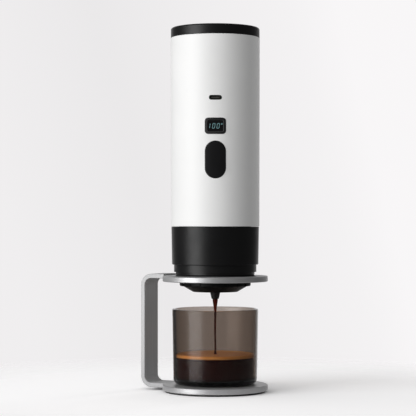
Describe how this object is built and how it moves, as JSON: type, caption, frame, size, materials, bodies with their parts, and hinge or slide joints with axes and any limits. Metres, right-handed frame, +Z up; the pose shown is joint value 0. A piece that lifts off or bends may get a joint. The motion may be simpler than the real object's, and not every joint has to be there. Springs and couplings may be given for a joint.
{
  "type": "portable coffee maker",
  "caption": "Cordless coffee brewer: white cylinder with black lid and brew head, standing in an aluminium plate stand with a strap handle over a smoked clear cup.",
  "frame": {"origin": "centre of the stand's underside, on the machine's axis", "axes": "+Z up along the machine's axis; the button and display face -Y; the strap handle is at -X, turned 25 degrees towards +Y"},
  "size_m": [0.103, 0.085, 0.2937],
  "materials": {
    "satin_aluminium": "fine bead-blasted, satin anodised",
    "white_shell": "fine matte white",
    "black_plastic": "fine matte black with a soft sheen",
    "black_button": "smooth satin black",
    "smoked_clear": "smooth smoked clear",
    "display_glass": "dark gloss",
    "dark_silicone": "matte",
    "clear_hose": "translucent",
    "stainless": "drawn and brushed",
    "screw_steel": "plain",
    "socket_steel": "dark nickel",
    "grey_plastic": "moulded",
    "cell_wrap": null,
    "board_green": "solder mask",
    "magnet": "ferrite",
    "pipe_brass": "machined"
  },
  "bodies": {
    "stand": {"base_pad": "dark_silicone", "lower_plate": "satin_aluminium", "upper_plate": "satin_aluminium", "handle_strap": "satin_aluminium", "strap_screws": "screw_steel", "seat_ring": "dark_silicone"},
    "cup": {"cup": "smoked_clear"},
    "main_body": {"outer_shell": "white_shell", "bayonet_ring": "grey_plastic", "ring_screws": "screw_steel", "lower_deck": "grey_plastic", "upper_deck": "grey_plastic", "deck_posts": "grey_plastic", "deck_screws": "screw_steel", "group_gasket": "dark_silicone", "shower_screen": "stainless", "shower_screw": "screw_steel", "battery_cells": "cell_wrap", "cell_cradle": "grey_plastic", "foam_pads": "dark_silicone", "pump_case": "grey_plastic", "pump_cover": "grey_plastic", "pump_screws": "screw_steel", "shaft_seal": "dark_silicone", "motor_can": "stainless", "motor_end_cap": "grey_plastic", "motor_magnets": "magnet", "tank": "stainless", "heater_plate": "satin_aluminium", "heater_insulator": "dark_silicone", "temperature_probe": "stainless", "tank_outlet": "pipe_brass", "suction_tube": "clear_hose", "control_board": "board_green", "board_screws": "screw_steel", "push_switch": "grey_plastic", "display_module": "grey_plastic", "display_window": "display_glass", "display_bezel": "black_plastic", "usb_socket": "socket_steel", "usb_tongue": "black_plastic"},
    "power_button": {"power_button": "black_button", "switch_plunger": "grey_plastic"},
    "lid": {"lid_cap": "black_plastic", "lid_plug": "grey_plastic", "lid_seal": "dark_silicone", "lid_screws": "screw_steel", "vent_valve": "dark_silicone"},
    "brew_head": {"head_shell": "black_plastic", "neck_ring": "black_plastic", "outlet_cone": "black_plastic", "spout_tip": "black_plastic", "brew_chamber": "grey_plastic", "head_screws": "screw_steel", "filter_basket": "stainless", "crema_valve": "dark_silicone"},
    "pump_rotor": {"drive_gear": "grey_plastic", "motor_shaft": "stainless", "motor_armature": "stainless"},
    "pump_idler": {"idler_gear": "grey_plastic"}
  },
  "joints": [
    {"name": "machine_lift", "type": "slide", "parent": "stand", "child": "main_body", "axis": [0, 0, 1], "range_m": [0, 0.06]},
    {"name": "cup_slide", "type": "slide", "parent": "stand", "child": "cup", "axis": [0.9063, -0.4226, 0], "range_m": [0, 0.1]},
    {"name": "lid_lift", "type": "slide", "parent": "main_body", "child": "lid", "axis": [0, 0, 1], "range_m": [0, 0.05]},
    {"name": "button_press", "type": "slide", "parent": "main_body", "child": "power_button", "axis": [0, 1, 0], "range_m": [0, 0.0006], "stiffness_N_per_m": 2500, "springref_m": -0.0002},
    {"name": "brew_head_twist", "type": "hinge", "parent": "main_body", "child": "brew_head", "pos_m": [0, 0, 0.1], "axis": [0, 0, -1], "range_deg": [0, 60]},
    {"name": "pump_spin", "type": "hinge", "parent": "main_body", "child": "pump_rotor", "pos_m": [0, -0.0092, 0.156], "axis": [0, 0, 1], "continuous": true},
    {"name": "idler_spin", "type": "hinge", "parent": "main_body", "child": "pump_idler", "pos_m": [0, 0.0018, 0.156], "axis": [0, 0, 1], "continuous": true}
  ],
  "couplings": [
    {"joint": "idler_spin", "follows": "pump_spin", "ratio": -1}
  ]
}
